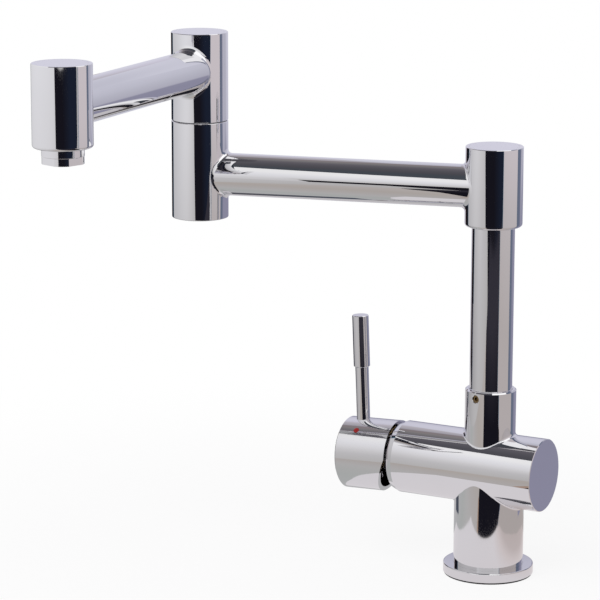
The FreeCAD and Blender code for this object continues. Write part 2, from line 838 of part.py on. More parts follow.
def riser_spigot():
    """Brass plug in the riser's foot: it turns in the body and carries the seals."""
    flange_low = riser_seat + thrust_washer_thickness
    flange_high = flange_low + spigot_flange
    tail = upright(spigot_r, tail_end, flange_low)
    flange = upright(tube_r, flange_low, flange_high)
    plug = upright(tube_bore_r - seated, flange_high, flange_high + spigot_plug)
    bore = upright(spigot_r - spigot_tail_wall, tail_end, flange_high + spigot_plug)
    grooves = [seal_groove(spigot_r, z) for z in groove_heights()]
    return tail.fuse([flange, plug]).removeSplitter().cut([bore] + grooves)


def riser_o_rings():
    """Two seals on the spigot."""
    centre_r = spigot_r - o_ring_section / 2
    return grouped([o_ring(centre_r, o_ring_section, Vector(0, 0, z)) for z in groove_heights()])


def riser_tube():
    """Upright tube from the body to the first knuckle, with the groove for its keeper screw."""
    low = riser_seat + thrust_washer_thickness + spigot_flange
    screw_z = collar_top - riser_screw_drop
    half = stop_groove_width / 2
    groove = upright_ring(tube_r + 1, tube_r - stop_groove_depth, screw_z - half, screw_z + half)
    return upright_ring(tube_r, tube_bore_r, low, riser_top).cut(groove)


# ---------------------------------------------------------------- lower arm
def tube_between(start, end, radius):
    """A straight round bar between two points."""
    run = end - start
    return Part.makeCylinder(radius, run.Length, start, run)


def lower_arm():
    """Knuckle sleeve, tube and lower half of the middle column, welded and ground into one."""
    start = Vector(0, 0, lower_arm_z)
    end = at(elbow, lower_arm_z)
    knuckle = upright(knuckle_r, knuckle_bottom, knuckle_top)
    column = upright(knuckle_r, elbow_bottom, joint_z, elbow)
    outside = fuse_all([tube_between(start, end, tube_r), knuckle, column])
    tube_line = (start, end - start, tube_r)
    for place in (start, end):
        seam = crossing_edges(outside, tube_line, (place, UP, knuckle_r))
        outside = outside.makeFillet(lower_arm_fillet, seam)
    outside = outside.makeFillet(sleeve_round, rim_edges(outside, knuckle_r, knuckle_bottom))
    outside = outside.makeFillet(column_round, rim_edges(outside, knuckle_r, elbow_bottom, elbow))
    for place, z in ((Vector(0, 0, 0), knuckle_top), (elbow, joint_z)):
        outside = outside.makeChamfer(sleeve_edge, rim_edges(outside, knuckle_r, z, place))
    ledge_top = riser_top + riser_ledge
    cuts = [
        upright(tube_r + seated, knuckle_bottom, riser_top),
        upright(tube_bore_r, knuckle_bottom, ledge_top),
        upright(sleeve_bore_r, ledge_top, knuckle_top),
        upright(sleeve_bore_r, elbow_bottom, joint_z - elbow_head, elbow),
        upright(elbow_thread_d / 2, elbow_bottom, joint_z, elbow),
        tube_between(start, end, tube_bore_r),
    ]
    return outside.cut(cuts)


def sleeve_plug(low, high, seal_z, place):
    """Flush disc that closes a sleeve's end, with a groove for its seal."""
    plug = upright(sleeve_bore_r - seated, low, high, place)
    half = cap_seal_section / 2 + 0.1
    groove = upright_ring(
        sleeve_bore_r + 1, sleeve_bore_r - seated - cap_seal_section,
        seal_z - half, seal_z + half, place,
    )
    return plug.cut(groove)


def sleeve_seal(seal_z, place):
    """The seal round such a disc."""
    return o_ring(sleeve_bore_r - seated - cap_seal_section / 2, cap_seal_section, at(place, seal_z))


def knuckle_cap():
    """Disc that closes the first knuckle's top."""
    middle = knuckle_top - cap_thickness / 2
    return sleeve_plug(knuckle_top - cap_thickness, knuckle_top, middle, Vector(0, 0, 0))


def column_plug():
    """Disc that closes the middle column's foot."""
    middle = elbow_bottom + cap_thickness / 2
    return sleeve_plug(elbow_bottom, elbow_bottom + cap_thickness, middle, elbow)


def lower_arm_plug_seals():
    """Seals of the knuckle's and the column's discs."""
    return grouped([
        sleeve_seal(knuckle_top - cap_thickness / 2, Vector(0, 0, 0)),
        sleeve_seal(elbow_bottom + cap_thickness / 2, elbow),
    ])


# ---------------------------------------------------------------- middle joint
def post_groove_heights():
    """The middles of the two seal grooves in the middle joint's post."""
    first = upper_column_bottom + post_first_groove
    return [first, first + groove_pitch]


def elbow_post():
    """Hollow brass post screwed into the lower column; the upper column turns on it."""
    base = upright(elbow_thread_d / 2 - seated, joint_z - elbow_head, joint_z, elbow)
    post_top = upper_column_bottom + post_height
    post = upright(post_d / 2, joint_z, post_top, elbow)
    bore = upright(post_bore / 2, joint_z - elbow_head, post_top, elbow)
    ring_low = upper_column_bottom + bush_length + 2 * end_float
    ring_groove = upright_ring(
        post_d / 2 + 1, post_d / 2 - ring_groove_depth, ring_low, ring_low + ring_thickness, elbow
    )
    grooves = [seal_groove(post_d / 2, z, elbow) for z in post_groove_heights()]
    return base.fuse(post).removeSplitter().cut([bore, ring_groove] + grooves)


def elbow_o_rings():
    """Two seals on the post."""
    centre_r = post_d / 2 - o_ring_section / 2
    return grouped([
        o_ring(centre_r, o_ring_section, at(elbow, z)) for z in post_groove_heights()
    ])


def elbow_retaining_ring():
    """Spring ring in the post's groove that keeps the upper column down."""
    low = upper_column_bottom + bush_length + 2 * end_float
    inner = post_d / 2 - ring_groove_depth
    ring = upright_ring(inner + ring_width, inner, low, low + ring_thickness, elbow)
    opening = box(
        elbow.x, elbow.x + post_d, elbow.y - ring_width / 2, elbow.y + ring_width / 2,
        low, low + ring_thickness,
    )
    return ring.cut(opening)


def elbow_washer():
    """Thin slippery ring in the joint between the two halves of the column."""
    outer = knuckle_r - elbow_washer_inset
    return upright_ring(outer, elbow_thread_d / 2, joint_z, upper_column_bottom, elbow)


def elbow_bush():
    """Brass liner in the upper column, running on the post."""
    low = upper_column_bottom + end_float
    return upright_ring(
        sleeve_bore_r - seated, post_d / 2 + running, low, upper_column_bottom + bush_length, elbow
    )


# ---------------------------------------------------------------- upper arm and spout head
def upper_arm():
    """Upper half of the middle column, tube and spout head, welded and ground into one."""
    start = at(elbow, upper_arm_z)
    end = at(head, upper_arm_z)
    column = upright(knuckle_r, upper_column_bottom, upper_column_top, elbow)
    spout = upright(knuckle_r, head_bottom, head_top, head)
    outside = fuse_all([tube_between(start, end, tube_r), column, spout])
    tube_line = (start, end - start, tube_r)
    for place, radius in ((start, upper_arm_flare), (end, head_fillet)):
        seam = crossing_edges(outside, tube_line, (place, UP, knuckle_r))
        outside = outside.makeFillet(radius, seam)
    outside = outside.makeFillet(sleeve_round, rim_edges(outside, knuckle_r, head_bottom, head))
    for place, z in ((elbow, upper_column_bottom), (elbow, upper_column_top), (head, head_top)):
        outside = outside.makeChamfer(sleeve_edge, rim_edges(outside, knuckle_r, z, place))
    floor_top = head_bottom + outlet_floor
    cuts = [
        upright(sleeve_bore_r, upper_column_bottom, upper_column_top, elbow),
        upright(sleeve_bore_r, floor_top, head_top, head),
        upright(adapter_thread_d / 2, head_bottom, floor_top, head),
        tube_between(start, end, tube_bore_r),
    ]
    return outside.cut(cuts)


def column_cap():
    """Disc that closes the middle column's top."""
    middle = upper_column_top - cap_thickness / 2
    return sleeve_plug(upper_column_top - cap_thickness, upper_column_top, middle, elbow)


def head_cap():
    """Disc that closes the spout head's top."""
    return sleeve_plug(head_top - cap_thickness, head_top, head_top - cap_thickness / 2, head)


def upper_arm_plug_seals():
    """Seals of the column's and the head's discs."""
    return grouped([
        sleeve_seal(upper_column_top - cap_thickness / 2, elbow),
        sleeve_seal(head_top - cap_thickness / 2, head),
    ])


# ---------------------------------------------------------------- aerator
def aerator_adapter():
    """Ring screwed into the head's mouth; the aerator screws into it from below."""
    collar = upright(adapter_od / 2, adapter_bottom, head_bottom, head)
    collar = collar.makeChamfer(aerator_edge, rim_edges(collar, adapter_od / 2, adapter_bottom, head))
    thread = upright(adapter_thread_d / 2 - seated, head_bottom, adapter_top, head)
    bore = upright(aerator_thread_d / 2, adapter_bottom, adapter_top - adapter_ledge, head)
    outlet = upright(aerator_bore_r, adapter_bottom, adapter_top, head)
    return collar.fuse(thread).removeSplitter().cut([bore, outlet])


def aerator_housing():
    """Screwed mouth of the spout, with four spanner flats."""
    skirt = upright(aerator_od / 2, aerator_bottom, adapter_bottom, head)
    half = aerator_flats / 2
    square = box(
        head.x - half, head.x + half, head.y - half, head.y + half, aerator_bottom, adapter_bottom
    )
    square.rotate(at(head, 0), UP, aerator_turn)
    flange = skirt.common(square)
    thread = upright(aerator_thread_d / 2 - seated, adapter_bottom, aerator_top, head)
    bore = upright(aerator_bore_r, aerator_bottom + aerator_lip, aerator_top, head)
    mouth_r = aerator_bore_r - aerator_lip
    mouth = upright(mouth_r, aerator_bottom, aerator_bottom + aerator_lip, head)
    return flange.fuse(thread).removeSplitter().cut([bore, mouth])


def aerator_screen():
    """Outlet grid of the aerator: as many holes as fit inside its mouth."""
    low = aerator_bottom + aerator_lip
    high = low + screen_thickness
    field_r = aerator_bore_r - aerator_lip - screen_hole_d
    rows = int(field_r / screen_pitch)
    grid = upright(aerator_bore_r - seated, low, high, head)
    for across in range(-rows, rows + 1):
        for along in range(-rows, rows + 1):
            offset = Vector(across * screen_pitch, along * screen_pitch, 0)
            if offset.Length < field_r:
                grid = grid.cut(upright(screen_hole_d / 2, low, high, head + offset))
    return grid


def aerator_insert():
    """Plastic body of the aerator: a sleeve with a pierced bridge half way up."""
    low = aerator_bottom + aerator_lip + screen_thickness
    high = aerator_top - limiter_thickness
    middle = (low + high) / 2
    core_r = aerator_bore_r - insert_wall
    sleeve = upright_ring(aerator_bore_r - seated, core_r, low, high, head)
    bridge = upright(core_r, middle, middle + insert_bridge, head)
    for turn in range(8):
        heading = math.radians(45 * turn)
        place = head + Vector(math.cos(heading), math.sin(heading), 0) * (core_r * 0.65)
        bridge = bridge.cut(upright(screen_hole_d / 2, middle, middle + insert_bridge, place))
    return sleeve.fuse(bridge).removeSplitter()


def flow_limiter():
    """Small ring above the aerator's insert that limits the flow."""
    low = aerator_top - limiter_thickness
    return upright_ring(aerator_bore_r - seated, limiter_bore / 2, low, aerator_top, head)


def aerator_washer():
    """Rubber washer between the aerator and the adapter's ledge."""
    outer = aerator_thread_d / 2 - seated
    inner = aerator_thread_d / 2 - washer_land
    return upright_ring(outer, inner, aerator_top, aerator_top + aerator_washer_thickness, head)


# ---------------------------------------------------------------- all sub-parts
PIECES = [
    base_gasket, base_flange, base_column, valve_body, riser_screw, riser_washer,
    inlet_block, inlet_block_seals, inlet_block_screws,
    cartridge_base, cartridge_port_seals, fixed_disc, cartridge_housing, cartridge_nut,
    moving_disc, disc_driver, cartridge_rotor, rotor_o_ring, spindle_pin,
    cartridge_spindle, handle_cap, handle_grub_screw, index_button, lever_rod, lever_grip,
    riser_spigot, riser_o_rings, riser_tube,
    lower_arm, knuckle_cap, column_plug, lower_arm_plug_seals,
    elbow_post, elbow_o_rings, elbow_retaining_ring, elbow_washer,
    elbow_bush, upper_arm, column_cap, head_cap, upper_arm_plug_seals,
    aerator_adapter, aerator_washer, aerator_housing, aerator_screen, aerator_insert, flow_limiter,
]

os.makedirs("parts", exist_ok=True)
for piece in PIECES:
    made = piece()
    export(piece.__name__, made)
    print(piece.__name__, len(made.Solids), round(made.Volume, 1), made.isValid())
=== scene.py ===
"""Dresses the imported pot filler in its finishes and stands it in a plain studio.

Metres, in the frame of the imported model: the deck is z = 0, the base column stands on the
origin and X runs along the valve barrel.
"""

import json
import logging
import math
from dataclasses import dataclass, field
from enum import Enum

import bmesh
import bpy
from mathutils import Matrix, Vector


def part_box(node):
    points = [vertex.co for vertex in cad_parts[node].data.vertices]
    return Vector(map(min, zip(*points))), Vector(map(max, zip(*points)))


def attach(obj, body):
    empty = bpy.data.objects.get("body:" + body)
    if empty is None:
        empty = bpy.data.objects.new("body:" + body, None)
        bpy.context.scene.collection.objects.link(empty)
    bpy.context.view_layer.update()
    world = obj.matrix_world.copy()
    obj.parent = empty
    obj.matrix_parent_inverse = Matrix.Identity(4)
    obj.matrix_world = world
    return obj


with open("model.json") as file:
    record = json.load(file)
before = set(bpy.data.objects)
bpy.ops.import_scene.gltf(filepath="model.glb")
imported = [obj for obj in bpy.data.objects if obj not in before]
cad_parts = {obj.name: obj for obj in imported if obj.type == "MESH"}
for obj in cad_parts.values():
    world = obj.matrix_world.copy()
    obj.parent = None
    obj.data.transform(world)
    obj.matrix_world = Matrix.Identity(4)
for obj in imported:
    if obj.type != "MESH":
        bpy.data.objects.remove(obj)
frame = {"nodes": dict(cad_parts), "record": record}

log = logging.getLogger("pot_filler")
MM = 0.001
UP = Vector((0.0, 0.0, 1.0))
BARREL_AXIS = Vector((1.0, 0.0, 0.0))

# The studio stands square to the camera: ACROSS runs to its right, NEAR towards it.
CAMERA_TURN = math.radians(28.263)
CAMERA_RISE = math.radians(12.327)
CAMERA_ROLL = math.radians(0.136)
CAMERA_DISTANCE = 1.9507
CAMERA_AIM = (-0.12498, 0.18394)
ACROSS = Vector((math.cos(CAMERA_TURN), math.sin(CAMERA_TURN), 0.0))
NEAR = Vector((math.sin(CAMERA_TURN), -math.cos(CAMERA_TURN), 0.0))

Colour = tuple[float, float, float]


def tone(red: int, green: int, blue: int) -> Colour:
    """Turns a colour as seen on a screen into the linear one that shaders take.

    Args:
        red: Red, 0 to 255.
        green: Green, 0 to 255.
        blue: Blue, 0 to 255.

    Returns:
        The linear colour.
    """
    shares = [value / 255 for value in (red, green, blue)]
    return tuple(
        share / 12.92 if share <= 0.04045 else ((share + 0.055) / 1.055) ** 2.4 for share in shares
    )


# ---------------------------------------------------------------- materials
class Recipe:
    """A material's node tree, with short ways to add nodes and join them."""

    def __init__(self, name: str) -> None:
        """Starts a material with its shader and the object's own coordinates.

        Args:
            name: The material's name.
        """
        self.material = bpy.data.materials.new(name)
        self.material.use_nodes = True
        self.tree = self.material.node_tree
        self.shader = self.tree.nodes["Principled BSDF"]
        self.place = self.node("ShaderNodeTexCoord").outputs["Object"]

    def node(self, kind: str, **settings: object) -> bpy.types.Node:
        """Adds a node.

        Args:
            kind: The node's type name.
            **settings: Properties to set on it.

        Returns:
            The node.
        """
        made = self.tree.nodes.new(kind)
        for key, value in settings.items():
            setattr(made, key, value)
        return made

    def feed(self, socket: bpy.types.NodeSocket, source: object) -> None:
        """Joins a socket to another node's output, or sets its value.

        Args:
            socket: The socket that is fed.
            source: An output socket, a number or a colour.
        """
        if isinstance(source, bpy.types.NodeSocket):
            self.tree.links.new(source, socket)
        elif isinstance(source, tuple) and len(socket.default_value) == 4:
            socket.default_value = (*source, 1.0)
        else:
            socket.default_value = source

    def noise(
        self, scale: float, detail: float = 2.0, roughness: float = 0.5, place: object = None
    ) -> bpy.types.NodeSocket:
        """Cloudy noise between 0 and 1.

        Args:
            scale: Clouds per metre.
            detail: Finer octaves.
            roughness: Their share.
            place: Coordinates, when not the object's own.

        Returns:
            The noise's value.
        """
        made = self.node("ShaderNodeTexNoise")
        self.feed(made.inputs["Vector"], place or self.place)
        self.feed(made.inputs["Scale"], scale)
        self.feed(made.inputs["Detail"], detail)
        self.feed(made.inputs["Roughness"], roughness)
        return made.outputs["Fac"]

    def ranged(
        self, value: object, low: float, high: float, start: float = 0.0, end: float = 1.0,
        smooth: bool = False,
    ) -> bpy.types.NodeSocket:
        """Stretches a value from one range to another, clamped.

        Args:
            value: The value.
            low: Lower end of its range.
            high: Upper end of its range.
            start: Result at the lower end.
            end: Result at the upper end.
            smooth: Whether the ends are eased.

        Returns:
            The stretched value.
        """
        made = self.node("ShaderNodeMapRange", clamp=True)
        if smooth:
            made.interpolation_type = "SMOOTHSTEP"
        for key, source in (
            ("Value", value), ("From Min", low), ("From Max", high), ("To Min", start), ("To Max", end),
        ):
            self.feed(made.inputs[key], source)
        return made.outputs["Result"]

    def sum(self, operation: str, first: object, second: object = 0.0) -> bpy.types.NodeSocket:
        """Arithmetic on two values.

        Args:
            operation: The Math node's operation.
            first: The first value.
            second: The second value.

        Returns:
            The result.
        """
        made = self.node("ShaderNodeMath", operation=operation)
        self.feed(made.inputs[0], first)
        self.feed(made.inputs[1], second)
        return made.outputs[0]

    def mixed(self, share: object, first: object, second: object) -> bpy.types.NodeSocket:
        """Blends two colours.

        Args:
            share: Share of the second colour.
            first: The first colour.
            second: The second colour.

        Returns:
            The blended colour.
        """
        made = self.node("ShaderNodeMix", data_type="RGBA")
        self.feed(made.inputs[0], share)
        self.feed(made.inputs[6], first)
        self.feed(made.inputs[7], second)
        return made.outputs[2]

    def bump(self, height: object, depth: float, below: object = None) -> bpy.types.NodeSocket:
        """Surface relief.

        Args:
            height: Height between 0 and 1.
            depth: What a height of 1 stands for, in metres.
            below: A relief that this one lies on.

        Returns:
            The normal.
        """
        made = self.node("ShaderNodeBump")
        made.inputs["Strength"].default_value = 1.0
        made.inputs["Distance"].default_value = depth
        self.feed(made.inputs["Height"], height)
        if below is not None:
            self.feed(made.inputs["Normal"], below)
        return made.outputs["Normal"]

    def along(self, direction: Vector, origin: Vector = Vector()) -> bpy.types.NodeSocket:
        """How far a point lies along a direction.

        Args:
            direction: The direction.
            origin: Where the measure is 0.

        Returns:
            The distance in metres.
        """
        shift = self.node("ShaderNodeVectorMath", operation="SUBTRACT")
        self.feed(shift.inputs[0], self.place)
        shift.inputs[1].default_value = origin
        made = self.node("ShaderNodeVectorMath", operation="DOT_PRODUCT")
        self.feed(made.inputs[0], shift.outputs[0])
        made.inputs[1].default_value = direction
        return made.outputs["Value"]

    def from_axis(self, centre: Vector, axis: Vector) -> bpy.types.NodeSocket:
        """How far a point lies from a line.

        Args:
            centre: A point on the line.
            axis: The line's direction.

        Returns:
            The distance in metres.
        """
        shift = self.node("ShaderNodeVectorMath", operation="SUBTRACT")
        self.feed(shift.inputs[0], self.place)
        shift.inputs[1].default_value = centre
        cross = self.node("ShaderNodeVectorMath", operation="CROSS_PRODUCT")
        self.feed(cross.inputs[0], shift.outputs[0])
        cross.inputs[1].default_value = axis.normalized()
        size = self.node("ShaderNodeVectorMath", operation="LENGTH")
        self.feed(size.inputs[0], cross.outputs[0])
        return size.outputs["Value"]

    def edges(self) -> bpy.types.NodeSocket:
        """1 on sharp outer edges and 0 elsewhere."""
        return self.ranged(self.node("ShaderNodeNewGeometry").outputs["Pointiness"], 0.52, 0.60)

    def bands(self, value: object, stops: tuple) -> bpy.types.NodeSocket:
        """Colours that follow each other along a value.

        Args:
            value: The value.
            stops: The value and the colour of each band, from low to high.

        Returns:
            The colour.
        """
        low, high = stops[0][0], stops[-1][0]
        made = self.node("ShaderNodeValToRGB")
        ramp = made.color_ramp
        for place, colour in stops[1:-1]:
            ramp.elements.new((place - low) / (high - low)).color = (*colour, 1.0)
        for end in (0, -1):
            ramp.elements[end].color = (*stops[end][1], 1.0)
        self.feed(made.inputs["Fac"], self.ranged(value, low, high))
        return made.outputs["Color"]


@dataclass(frozen=True)
class MirrorSteel:
    """Steel polished to a mirror: a faint haze, wiping marks and the slight waves of the wheel."""

    name: str
    colour: Colour
    haze: float = 0.010
    haze_patches: float = 0.022
    edge_wear: float = 0.05
    dull_share: float = 0.965
    cloud_scale: float = 14.0
    smear_scale: float = 55.0
    wave_scale: float = 38.0
    wave_depth: float = 4e-6
    mark_scale: float = 2600.0
    mark_depth: float = 1.2e-7

    def build(self) -> bpy.types.Material:
        """Makes the material."""
        recipe = Recipe(self.name)
        clouds = recipe.noise(self.cloud_scale, 3.0)
        smears = recipe.noise(self.smear_scale, 5.0, 0.65)
        worn = recipe.sum("MULTIPLY", recipe.edges(), self.edge_wear)
        haze = recipe.sum("MULTIPLY", recipe.ranged(smears, 0.48, 0.75), self.haze_patches)
        haze = recipe.sum("ADD", haze, self.haze)
        recipe.feed(recipe.shader.inputs["Roughness"], recipe.sum("ADD", haze, worn))
        darker = tuple(self.dull_share * value for value in self.colour)
        recipe.feed(
            recipe.shader.inputs["Base Color"],
            recipe.mixed(recipe.ranged(clouds, 0.35, 0.7), self.colour, darker),
        )
        recipe.feed(recipe.shader.inputs["Metallic"], 1.0)
        waves = recipe.bump(recipe.noise(self.wave_scale, 1.0), self.wave_depth)
        marks = recipe.bump(recipe.noise(self.mark_scale, 2.0), self.mark_depth, waves)
        recipe.feed(recipe.shader.inputs["Normal"], marks)
        return recipe.material


@dataclass(frozen=True)
class TurnedMetal:
    """Plain metal from the lathe, with fine rings round the piece's own axis and a dull film."""

    name: str
    colour: Colour
    centre: tuple[float, float, float]
    axis: tuple[float, float, float] = (0.0, 0.0, 1.0)
    ring_pitch: float = 0.35 * MM
    ring_depth: float = 4e-6
    gloss: float = 0.24
    gloss_loss: float = 0.18
    dull_share: float = 0.72
    film_scale: float = 160.0
    grain_scale: float = 900.0
    grain_depth: float = 2e-6

    def build(self) -> bpy.types.Material:
        """Makes the material."""
        recipe = Recipe(self.name)
        axis = Vector(self.axis)
        centre = Vector(self.centre)
        out = recipe.from_axis(centre, axis)
        up = recipe.along(axis, centre)
        turns = recipe.sum("MULTIPLY", recipe.sum("ADD", out, up), 2 * math.pi / self.ring_pitch)
        rings = recipe.ranged(recipe.sum("SINE", turns), -1.0, 1.0)
        film = recipe.noise(self.film_scale, 4.0, 0.6)
        dark = tuple(self.dull_share * value for value in self.colour)
        recipe.feed(
            recipe.shader.inputs["Base Color"],
            recipe.mixed(recipe.ranged(film, 0.35, 0.75), self.colour, dark),
        )
        recipe.feed(recipe.shader.inputs["Metallic"], 1.0)
        rough = recipe.ranged(film, 0.3, 0.8, self.gloss, self.gloss + self.gloss_loss)
        recipe.feed(recipe.shader.inputs["Roughness"], rough)
        relief = recipe.bump(rings, self.ring_depth)
        grain = recipe.bump(recipe.noise(self.grain_scale, 3.0), self.grain_depth, relief)
        recipe.feed(recipe.shader.inputs["Normal"], grain)
        return recipe.material


@dataclass(frozen=True)
class MouldedPlastic:
    """Moulded plastic: a fine grain, flow marks, and a little wear on its edges."""

    name: str
    colour: Colour
    roughness: float = 0.42
    grain_depth: float = 8e-6
    coat: float = 0.0
    dull_share: float = 0.86
    wear_share: float = 0.5
    flow_scale: float = 90.0
    patch_scale: float = 400.0
    grain_scale: float = 3200.0
    refraction: float = 1.49

    def build(self) -> bpy.types.Material:
        """Makes the material."""
        recipe = Recipe(self.name)
        flow = recipe.noise(self.flow_scale, 3.0)
        darker = tuple(self.dull_share * value for value in self.colour)
        paler = tuple(min(1.0, 0.9 * value + 0.08) for value in self.colour)
        base = recipe.mixed(recipe.ranged(flow, 0.3, 0.75), self.colour, darker)
        worn = recipe.sum("MULTIPLY", recipe.edges(), self.wear_share)
        recipe.feed(recipe.shader.inputs["Base Color"], recipe.mixed(worn, base, paler))
        patches = recipe.noise(self.patch_scale, 4.0)
        rough = recipe.ranged(patches, 0.3, 0.7, self.roughness - 0.05, self.roughness + 0.08)
        recipe.feed(recipe.shader.inputs["Roughness"], rough)
        recipe.feed(recipe.shader.inputs["IOR"], self.refraction)
        recipe.feed(recipe.shader.inputs["Coat Weight"], self.coat)
        grain = recipe.bump(recipe.noise(self.grain_scale, 2.0), self.grain_depth)
        recipe.feed(recipe.shader.inputs["Normal"], grain)
        return recipe.material


@dataclass(frozen=True)
class LappedCeramic:
    """Dense white ceramic, lapped flat: nearly smooth, with the odd dark grain."""

    name: str
    colour: Colour
    speck_scale: float = 2200.0
    speck_share: float = 0.6
    cloud_scale: float = 70.0
    cloud_share: float = 0.93
    lap_scale: float = 300.0
    pit_scale: float = 1500.0
    pit_depth: float = 1.5e-6

    def build(self) -> bpy.types.Material:
        """Makes the material."""
        recipe = Recipe(self.name)
        grains = recipe.ranged(recipe.noise(self.speck_scale, 2.0), 0.68, 0.76)
        darker = tuple(self.speck_share * value for value in self.colour)
        cloud = recipe.mixed(
            recipe.ranged(recipe.noise(self.cloud_scale, 3.0), 0.3, 0.7),
            self.colour, tuple(self.cloud_share * value for value in self.colour),
        )
        recipe.feed(recipe.shader.inputs["Base Color"], recipe.mixed(grains, cloud, darker))
        recipe.feed(
            recipe.shader.inputs["Roughness"],
            recipe.ranged(recipe.noise(self.lap_scale, 3.0), 0.3, 0.7, 0.16, 0.28),
        )
        pits = recipe.bump(recipe.noise(self.pit_scale, 3.0), self.pit_depth)
        recipe.feed(recipe.shader.inputs["Normal"], pits)
        return recipe.material


@dataclass(frozen=True)
class SealRubber:
    """Matt black rubber with talc dust in its pores."""

    name: str
    colour: Colour
    dust_scale: float = 700.0
    dust_grey: float = 0.06
    pore_scale: float = 1800.0
    pore_depth: float = 1.5e-5

    def build(self) -> bpy.types.Material:
        """Makes the material."""
        recipe = Recipe(self.name)
        dust = recipe.ranged(recipe.noise(self.dust_scale, 5.0, 0.7), 0.45, 0.8)
        grey = tuple(value + self.dust_grey for value in self.colour)
        recipe.feed(recipe.shader.inputs["Base Color"], recipe.mixed(dust, self.colour, grey))
        recipe.feed(recipe.shader.inputs["Roughness"], recipe.ranged(dust, 0.0, 1.0, 0.55, 0.8))
        pores = recipe.bump(recipe.noise(self.pore_scale, 4.0), self.pore_depth)
        recipe.feed(recipe.shader.inputs["Normal"], pores)
        return recipe.material


class Slot(Enum):
    """The record's material slots."""

    POLISHED = "polished_steel"
    STEEL = "plain_steel"
    BRASS = "brass"
    SCREW = "brass_screw"
    CERAMIC = "white_ceramic"
    WHITE = "white_plastic"
    GREY = "grey_plastic"
    RED = "red_plastic"
    RUBBER = "black_rubber"


TURNED = {
    Slot.STEEL: (0.56, 0.56, 0.58),
    Slot.BRASS: (0.72, 0.50, 0.22),
    # The screw's brass is darkened to about a third of the plain brass: painted shade of the hole it sits
    # deep in.
    Slot.SCREW: (0.26, 0.18, 0.09),
}
PLAIN = {
    Slot.POLISHED: MirrorSteel("polished_steel", (0.80, 0.795, 0.81)),
    Slot.CERAMIC: LappedCeramic("white_ceramic", (0.86, 0.85, 0.80)),
    Slot.WHITE: MouldedPlastic("white_plastic", (0.80, 0.80, 0.77)),
    Slot.GREY: MouldedPlastic("grey_plastic", (0.16, 0.165, 0.18)),
    Slot.RED: MouldedPlastic("red_plastic", tone(150, 28, 26), 0.16, 2e-6, 0.4),
    Slot.RUBBER: SealRubber("black_rubber", (0.018, 0.018, 0.020)),
}


@dataclass
class Wardrobe:
    """Hands out the finishes, each made once."""

    slots: dict[str, Slot] = field(default_factory=dict)
    made: dict[str, bpy.types.Material] = field(default_factory=dict)

    def __post_init__(self) -> None:
        """Reads each node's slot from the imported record."""
        for entry in frame["record"]["subparts"]:
            self.slots[entry["node"]] = Slot(entry["material_slot"])

    def plain(self, slot: Slot) -> bpy.types.Material:
        """The finish of a slot whose pattern has no axis.

        Args:
            slot: The slot.

        Returns:
            The material.
        """
        if slot.value not in self.made:
            self.made[slot.value] = PLAIN[slot].build()
        return self.made[slot.value]

    def turned(self, slot: Slot, node: str, axis: Vector) -> bpy.types.Material:
        """The finish of a turned piece, with its rings round the piece's own axis.

        Args:
            slot: The slot.
            node: The piece's node.
            axis: The piece's axis.

        Returns:
            The material.
        """
        low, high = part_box(node)
        centre = tuple((low + high) / 2)
        name = f"{slot.value}_{node}"
        if name not in self.made:
            self.made[name] = TurnedMetal(name, TURNED[slot], centre, tuple(axis)).build()
        return self.made[name]

    def dress(self, node: str, axis: Vector = UP) -> None:
        """Puts the right finish on a node.

        Args:
            node: The node's name.
            axis: The piece's own axis, for turned pieces.
        """
        slot = self.slots[node]
        finish = self.turned(slot, node, axis) if slot in TURNED else self.plain(slot)
        thing = frame["nodes"][node]
        thing.data.materials.clear()
        thing.data.materials.append(finish)
        log.info("dressed %s in %s", node, finish.name)

    def put_on(self, piece: bpy.types.Object, finish: bpy.types.Material, body: str) -> None:
        """Finishes a new piece and lets it move with its body.

        Args:
            piece: The new piece.
            finish: Its material.
            body: The body that carries it.
        """
        piece.data.materials.append(finish)
        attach(piece, body)
        log.info("built %s: %d faces", piece.name, len(piece.data.polygons))


# ---------------------------------------------------------------- shapes
CREASE = math.radians(32)


class Shape:
    """A mesh in the making."""

    def __init__(self, name: str) -> None:
        """Starts an empty mesh.

        Args:
            name: The piece's name.
        """
        self.name = name
        self.mesh = bmesh.new()

    def helix(
        self, centre: Vector, section: list[tuple[float, float]], pitch: float, turns: float,
        steps: int = 40,
    ) -> None:
        """Winds a closed section up an upright axis.

        Args:
            centre: The axis's place, with the height that counts as 0.
            section: Radius and height of each corner of the section.
            pitch: Rise of one turn.
            turns: Number of turns.
            steps: Facets in one turn.
        """
        corners = [self.mesh.verts.new(centre + Vector((radius, 0, height))) for radius, height in section]
        face = self.mesh.faces.new(corners)
        count = round(turns * steps)
        bmesh.ops.spin(
            self.mesh, geom=corners + list(face.edges) + [face], cent=centre, axis=UP,
            dvec=UP * (pitch / steps), angle=2 * math.pi * count / steps,
            space=Matrix.Identity(4), steps=count, use_merge=False, use_duplicate=False,
        )

    def finish(self) -> bpy.types.Object:
        """Turns the faces outwards, smooths the round ones and makes the piece's object.

        Returns:
            The object, at the origin.
        """
        bmesh.ops.recalc_face_normals(self.mesh, faces=self.mesh.faces[:])
        for face in self.mesh.faces:
            face.smooth = True
        for edge in self.mesh.edges:
            if edge.is_manifold and edge.calc_face_angle(0.0) > CREASE:
                edge.smooth = False
        data = bpy.data.meshes.new(self.name)
        self.mesh.to_mesh(data)
        self.mesh.free()
        piece = bpy.data.objects.new(self.name, data)
        bpy.context.scene.collection.objects.link(piece)
        return piece


